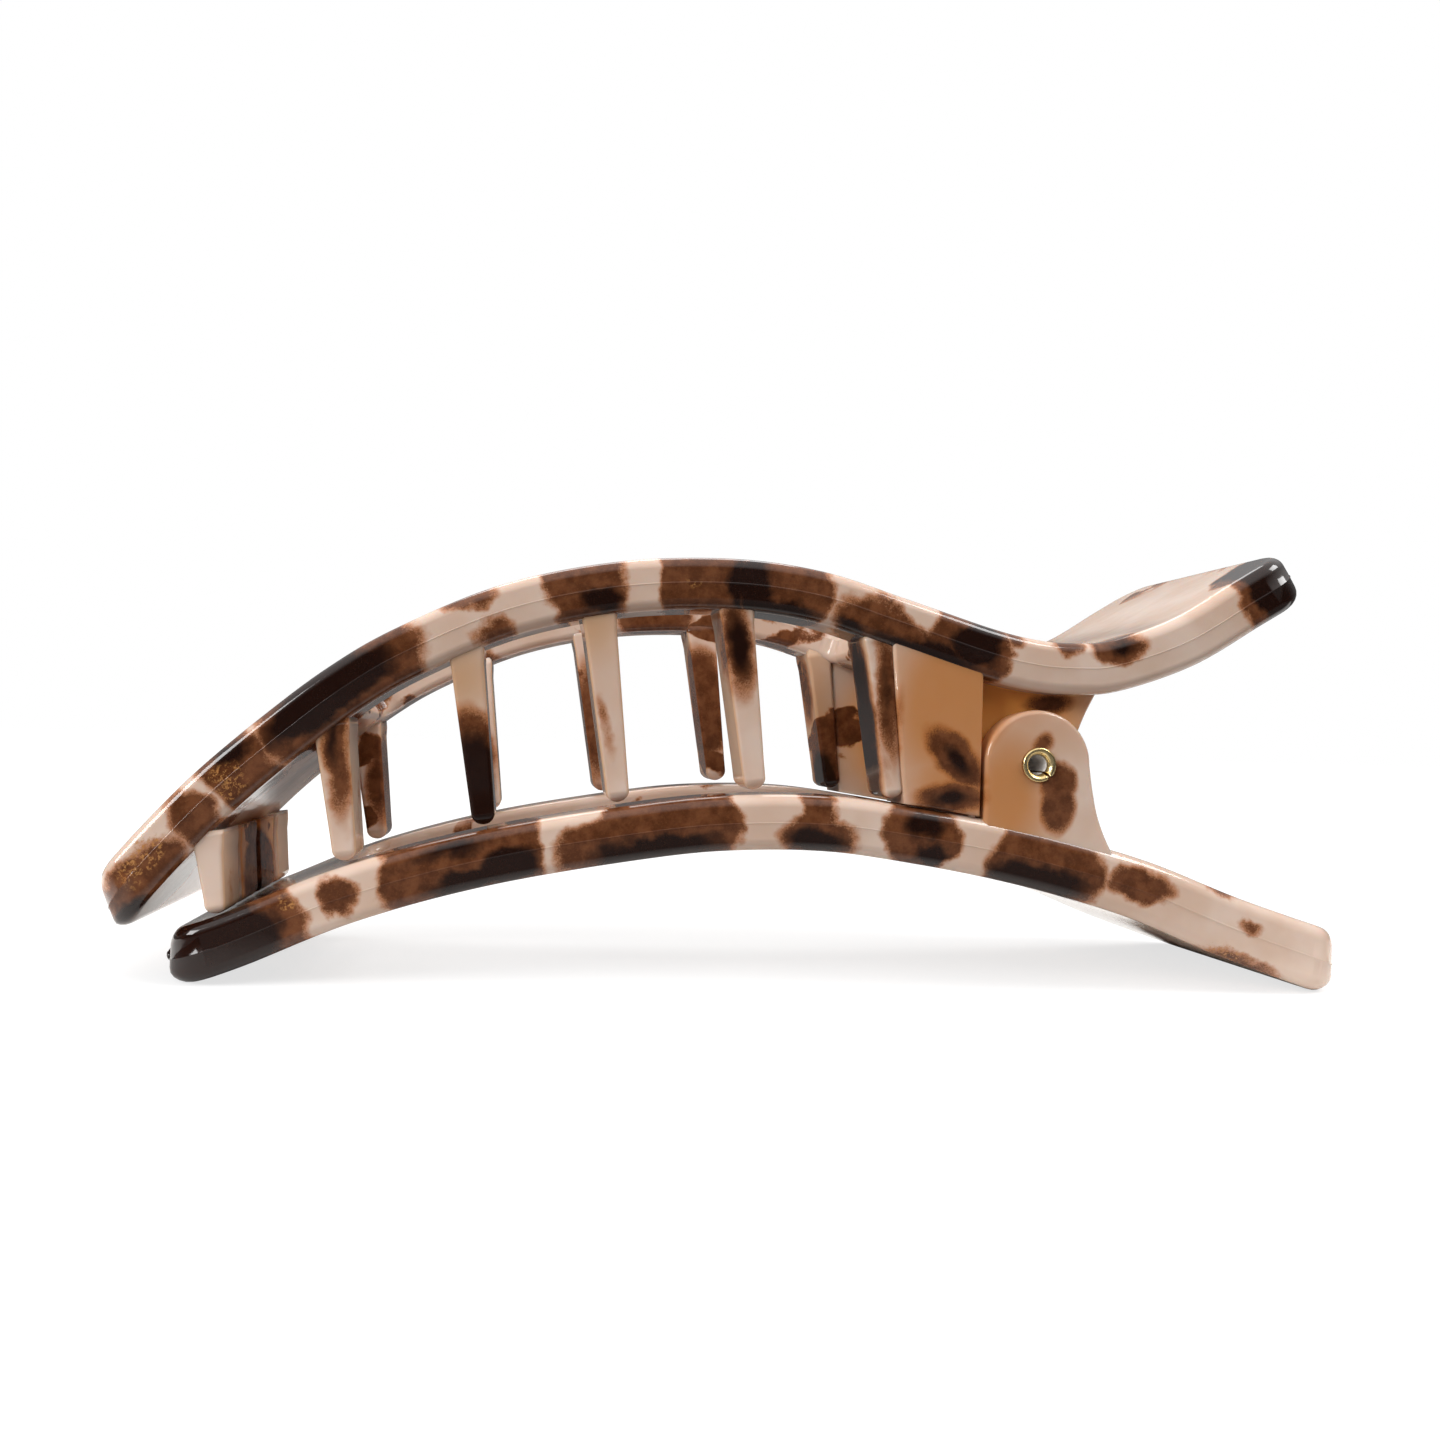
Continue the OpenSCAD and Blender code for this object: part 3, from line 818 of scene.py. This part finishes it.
# Where the tips of the side teeth stand. The first and last are slimmer and a little further out.
TOOTH_X = [-47.3, -36.7, -24.6, -12.6, -0.1, 12.6]
SLIM = 0.85
SHIFT = {1: -0.35, 6: 0.35}
TOOTH_D = 5.6
TOOTH_INSET = 0.6
for k, x in enumerate(TOOTH_X, 1):
    clear = TIP_CLEARANCE if k == 1 else SIDE_CLEARANCE
    slim = SLIM if k in SHIFT else 1.0
    for side, y0 in (("near", TOOTH_INSET - HALF_W), ("far", HALF_W - TOOTH_INSET - TOOTH_D)):
        tooth(f"{side}_tooth_{k}", x + SHIFT.get(k, 0.0), y0, y0 + TOOTH_D, TOOTH_PLASTIC, clear, slim)
# Two broad teeth stand between the first pair, with even gaps, and a narrow one between the second pair.
COMB_D = 6.2
COMB_X = TOOTH_X[0] - 0.45
CENTRE_X = TOOTH_X[1] - 1.6
CENTRE_D = 4.0
COMB_GAP = (2 * WINDOW_HALF - 2 * COMB_D) / 3
for k, side in ((1, -1), (2, 1)):
    y = side * (COMB_D + COMB_GAP) / 2
    tooth(f"comb_tooth_{k}", COMB_X, y - COMB_D / 2, y + COMB_D / 2, COMB_PLASTIC, TIP_CLEARANCE, SLIM)
tooth("centre_tooth", CENTRE_X, -CENTRE_D / 2, CENTRE_D / 2, TOOTH_PLASTIC, CENTRE_CLEARANCE)

# ---------------------------------------------------------------- hinge lugs
# The upper lugs stand inside the lower ones. OUT and IN are distances from the clip's middle.
LUG_T = 2.5
LUG_OUT = HALF_W - 0.3
LUG_IN = LUG_OUT - LUG_T
UPPER_LUG_OUT = LUG_IN - 0.25
UPPER_LUG_IN = WINDOW_HALF + 0.5
LOWER_LUG_R = 5.1
UPPER_LUG_R = 4.5
LOWER_BORE_R = 1.32
UPPER_BORE_R = 1.35
STEP_X = PIN_X - LOWER_LUG_R - 0.35


def over_lower(x):
    return LOWER.surface_z(x, 1) + TIP_CLEARANCE


def from_pin(*places):
    return [(PIN_X + x, PIN_Z + z) for x, z in places]


def upper_lug_outlines():
    """The web in front of the step, and the ring round the tube with its neck up to the lever."""
    front_x = TOOTH_X[5] + 1.3
    web = [(x, over_lower(x)) for x in np.linspace(front_x, STEP_X, 6)]
    web += [(STEP_X, 30.0), (12.3, 33.2), (front_x - 0.9, 26.0)]
    neck = smooth_path(from_pin((4.4, 1.0), (5.1, 3.0), (5.9, 5.0), (6.9, 7.0), (7.6, 8.6)))
    ring = [(x, over_lower(x)) for x in (front_x, STEP_X - 1.0)]
    ring += arc(PIN_X, PIN_Z, UPPER_LUG_R, range(-115, 41, 8)) + neck[1:] + [(12.6, 32.6)]
    return web, ring


def lower_lug_outline():
    """Round top, straight front and a rear edge that flares out into the tail."""
    foot = from_pin((-LOWER_LUG_R, -8.0), (-LOWER_LUG_R, -10.0))
    rear = smooth_path(from_pin((8.9, -10.0), (7.3, -7.7), (6.1, -5.0), (5.5, -2.5), (LOWER_LUG_R, 0)))
    return arc(PIN_X, PIN_Z, LOWER_LUG_R, range(0, 181, 6)) + foot + rear[:-1]


def mirrored(bm, figure):
    """Copy of the mesh on the clip's far side."""
    other = bm.copy()
    for v in other.verts:
        v.co.y = -v.co.y
    bmesh.ops.reverse_faces(other, faces=other.faces)
    return other, figure * np.array([1, -1, 1])


def upper_lug_mesh():
    web_outline, ring_outline = upper_lug_outlines()
    bore = circle_loop(PIN_X, PIN_Z, UPPER_BORE_R)
    bm, ring_figure = side_plate(ring_outline, [bore], -UPPER_LUG_OUT, -UPPER_LUG_IN, 0.35)
    for face in bm.faces:
        face.material_index = 1
    web, web_figure = side_plate(web_outline, [], -LUG_OUT, -UPPER_LUG_IN - 0.4, 0.35)
    mesh = bpy.data.meshes.new("web")
    web.to_mesh(mesh)
    bm.from_mesh(mesh)
    bpy.data.meshes.remove(mesh)
    web.free()
    return bm, np.concatenate([ring_figure, web_figure])


def lower_lug_mesh():
    bore = circle_loop(PIN_X, PIN_Z, LOWER_BORE_R)
    return side_plate(lower_lug_outline(), [bore], -LUG_OUT, -LUG_IN, 0.45)


for side in ("near", "far"):
    for jaw, make, materials in (("upper", upper_lug_mesh, [HINGE_PLASTIC, RING_PLASTIC]),
                                 ("lower", lower_lug_mesh, [HINGE_PLASTIC])):
        bm, figure = make()
        if side == "far":
            bm, figure = mirrored(bm, figure)
        lug = f"{jaw}_lug_{side}"
        finish_piece(bm, f"{lug}_piece", f"{jaw}_jaw", [lug], materials, figure)


# ---------------------------------------------------------------- hinge tube
TUBE_R = 1.3
SEAM_W = 0.25
SEAM_DEGREES = -50
# Faces nearer the hinge line than this are the tube's inside.
INSIDE_R = 0.93


def hinge_tube():
    """Rolled sheet tube with an open seam and curled ends."""
    half = [
        (TUBE_R, 0.0), (TUBE_R, 6.0), (TUBE_R, 13.3), (1.32, 13.55), (1.40, 13.68), (1.52, 13.72),
        (1.60, 13.80), (1.60, 13.90), (1.53, 13.97), (1.42, 14.0), (1.28, 13.97), (1.14, 13.87),
        (1.00, 13.68), (0.90, 13.4), (0.86, 13.0), (0.86, 6.0), (0.86, 0.0),
    ]
    profile = half + [(r, -y) for r, y in half[::-1][1:-1]]
    seam = math.radians(SEAM_DEGREES)
    gap = SEAM_W / TUBE_R
    steps = 64
    bm = bmesh.new()
    rings = []
    for k in range(steps + 1):
        a = seam + gap / 2 + (2 * math.pi - gap) * k / steps
        c, d = math.cos(a), math.sin(a)
        rings.append([bm.verts.new((PIN_X + r * c, y, PIN_Z + r * d)) for r, y in profile])
    skin(bm, rings)
    bmesh.ops.contextual_create(bm, geom=rings[0])
    bmesh.ops.contextual_create(bm, geom=rings[-1])
    co = coordinates(bm)
    for face in bm.faces:
        centre = face.calc_center_median()
        if math.hypot(centre.x - PIN_X, centre.z - PIN_Z) < INSIDE_R:
            face.material_index = 1
    move_to(bm, co * MM)
    finish_piece(bm, "hinge_tube_piece", "lower_jaw", ["hinge_tube"],
                 [BRASS, TUBE_INSIDE], co)


hinge_tube()


# ---------------------------------------------------------------- torsion spring
WIRE_R = 0.55
COIL_R = TUBE_R + 0.6 + WIRE_R
COIL_TURNS = 10
COIL_PITCH = 1.25
COIL_HALF = COIL_TURNS * COIL_PITCH / 2
COIL_STEPS = 28
WIRE_SIDES = 12


def spring_path():
    """Middle line of the wire round the tube's own axis: a leg up, the coil and a leg down."""
    up = [(COIL_R + 1.7, 5.9), (COIL_R + 1.4, 4.7), (COIL_R + 0.6, 3.0), (COIL_R + 0.15, 1.2)]
    down = [(COIL_R + 0.15, -1.2), (COIL_R + 0.5, -3.0), (COIL_R + 1.2, -4.8), (COIL_R + 1.6, -6.6)]
    path = [(x, -COIL_HALF, z) for x, z in up]
    for k in range(COIL_TURNS * COIL_STEPS + 1):
        a = 2 * math.pi * k / COIL_STEPS
        path.append((COIL_R * math.cos(a), COIL_PITCH * k / COIL_STEPS - COIL_HALF, -COIL_R * math.sin(a)))
    path += [(x, COIL_HALF, z) for x, z in down]
    return catmull_rom(path, 2)


def torsion_spring():
    """Close-wound coil on the tube, with a short leg against each jaw."""
    path = spring_path()
    tangent = np.gradient(path, axis=0)
    tangent /= np.linalg.norm(tangent, axis=1)[:, None]
    bm = bmesh.new()
    rings = []
    for i, (place, along) in enumerate(zip(path, tangent)):
        side = np.cross(along, (0, 1, 0.001))
        side /= np.linalg.norm(side)
        other = np.cross(along, side)
        r = WIRE_R * (0.75 if i in (0, len(path) - 1) else 1.0)
        ring = []
        for k in range(WIRE_SIDES):
            a = 2 * math.pi * k / WIRE_SIDES
            out = (side * math.cos(a) + other * math.sin(a)) * r
            ring.append(bm.verts.new(place + out + np.array([PIN_X, 0, PIN_Z])))
        rings.append(ring)
    skin(bm, rings)
    bm.faces.new(rings[0][::-1])
    bm.faces.new(rings[-1])
    move_to(bm, coordinates(bm) * MM)
    obj = smooth_object(bm, "torsion_spring_piece", STEEL)
    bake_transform(obj)
    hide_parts("torsion_spring")


torsion_spring()


# ---------------------------------------------------------------- moulding stub
STUB_HALF = (0.42, 0.9, 0.55)
STUB_Y = -9.3
# Depth of the ragged edge that the cut left, and how many times it goes in and out.
STUB_RAGGED = 0.12
STUB_WAVES = 7


def gate_mark():
    """Low stub on the lower jaw's front edge, where the moulding was cut from its runner."""
    tip_x, tip_z = LOWER.at(0.0, 0.0)
    bm = bmesh.new()
    bmesh.ops.create_uvsphere(bm, u_segments=20, v_segments=12, radius=1.0)
    co = coordinates(bm)
    angle = math.atan2(LOWER.tangent[0][1], LOWER.tangent[0][0])
    along, y, up = (co * STUB_HALF).T
    y = y + STUB_Y
    up = up * (1 + STUB_RAGGED * np.sin(STUB_WAVES * np.arctan2(co[:, 1], co[:, 2])))
    x = tip_x - 0.15 + along * math.cos(angle) - up * math.sin(angle)
    z = tip_z + 0.1 + along * math.sin(angle) + up * math.cos(angle)
    move_to(bm, np.stack([x, y, z], 1) * MM)
    figure = np.stack([np.full(len(co), 3.0), y - 2.0, up], 1)
    finish_piece(bm, "gate_mark_piece", "lower_jaw", [], [LOWER_PLASTIC], figure)


gate_mark()


# ---------------------------------------------------------------- stage
FLOOR_HALF = 3.0
# How far the floor lies under the clip's lowest point, so that the two never fight.
FLOOR_DROP = 0.00005


def floor():
    """Pale floor. The camera sees it glow to white; the clip is lit by it as a pale strip on dark card."""
    mesh = bpy.data.meshes.new("floor")
    corners = [(x * FLOOR_HALF, y * FLOOR_HALF, 0) for x, y in ((-1, -1), (1, -1), (1, 1), (-1, 1))]
    mesh.from_pydata(corners, [], [(0, 1, 2, 3)])
    obj = bpy.data.objects.new("floor", mesh)
    obj.location.z = -FLOOR_DROP
    bpy.context.scene.collection.objects.link(obj)
    mat = bpy.data.materials.new("floor_white")
    mat.use_nodes = True
    tree = mat.node_tree
    tree.nodes.clear()
    out = node(tree, "ShaderNodeOutputMaterial")
    where = node(tree, "ShaderNodeTexCoord").outputs["Object"]
    seen = node(tree, "ShaderNodeLightPath").outputs["Is Camera Ray"]
    paper = node(tree, "ShaderNodeBsdfDiffuse")
    pale = mix(tree, noise(tree, where, 6, 2, 0.5), (0.86, 0.86, 0.865), (0.90, 0.90, 0.90))
    beside = maths(tree, "ABSOLUTE", maths(tree, "SUBTRACT", separate(tree, where)["Y"], 0.020))
    unseen = mix(tree, ramp(tree, beside, 0.034, 0.055), (0.80, 0.79, 0.77), (0.12, 0.118, 0.116))
    link(tree, mix(tree, seen, unseen, pale), paper.inputs["Color"])
    glow = node(tree, "ShaderNodeEmission")
    away = ramp(tree, vector(tree, "LENGTH", where), 0.12, 0.5)
    link(tree, times(tree, seen, add(tree, 0.72, times(tree, away, 0.34))), glow.inputs["Strength"])
    share = maths(tree, "SUBTRACT", 1.0, times(tree, away, seen))
    weak = node(tree, "ShaderNodeMixShader")
    link(tree, times(tree, share, maths(tree, "SUBTRACT", 1.0, times(tree, seen, 0.66))), weak.inputs[0])
    link(tree, paper.outputs[0], weak.inputs[2])
    both = node(tree, "ShaderNodeAddShader")
    link(tree, weak.outputs[0], both.inputs[0])
    link(tree, glow.outputs[0], both.inputs[1])
    link(tree, both.outputs[0], out.inputs[0])
    mesh.materials.append(mat)


def area_light(name, place, target, size, power):
    data = bpy.data.lights.new(name, "AREA")
    data.shape = "RECTANGLE"
    data.size, data.size_y = size
    data.energy = power
    obj = bpy.data.objects.new(name, data)
    obj.location = place
    obj.rotation_euler = (Vector(target) - Vector(place)).to_track_quat("-Z", "Y").to_euler()
    bpy.context.scene.collection.objects.link(obj)


floor()
area_light("left_softbox", (-0.50, -0.28, 0.26), (0, 0, 0.02), (0.30, 0.22), 2.6)
area_light("back_softbox", (-0.02, 0.30, 0.48), (0, 0, 0.01), (0.40, 0.20), 0.9)
area_light("right_softbox", (0.42, -0.14, 0.46), (0.02, 0, 0.02), (0.28, 0.22), 1.9)

# The world is white to the camera, and lights the clip from above and behind.
world = bpy.data.worlds.new("studio")
bpy.context.scene.world = world
world.use_nodes = True
tree = world.node_tree
tree.nodes.clear()
out = node(tree, "ShaderNodeOutputWorld")
direction = separate(tree, node(tree, "ShaderNodeTexCoord").outputs["Generated"])
back = ramp(tree, direction["Y"], -0.35, 0.45)
high = ramp(tree, direction["Z"], 0.18, 0.75)
level = mix(tree, back, (0.03, 0.03, 0.03), (0.14, 0.14, 0.14))
overhead = mix(tree, back, (1.35, 1.34, 1.33), (1.0, 1.0, 1.0))
level = mix(tree, high, level, overhead)
shown = node(tree, "ShaderNodeLightPath").outputs["Is Camera Ray"]
sky = node(tree, "ShaderNodeBackground")
link(tree, mix(tree, shown, level, (1.0, 1.0, 1.0)), sky.inputs["Color"])
link(tree, sky.outputs[0], out.inputs[0])

CAMERA_AT = (-0.0206, -0.114, 0.02265)
CAMERA_TURN = -5.285
CAMERA_ROLL = 1.6
camera = bpy.data.cameras.new("camera")
camera.lens = 28.0
camera.sensor_width = 36.0
camera.shift_x = 0.06
camera.shift_y = 0.0125
camera.clip_start = 0.005
rig = bpy.data.objects.new("camera", camera)
bpy.context.scene.collection.objects.link(rig)
turn = Matrix.Rotation(math.radians(CAMERA_TURN), 4, "Z") @ Matrix.Rotation(math.radians(90), 4, "X")
roll = Matrix.Rotation(math.radians(CAMERA_ROLL), 4, "Z")
rig.matrix_world = Matrix.Translation(CAMERA_AT) @ turn @ roll
bpy.context.scene.camera = rig
bpy.context.scene.view_settings.view_transform = "Standard"
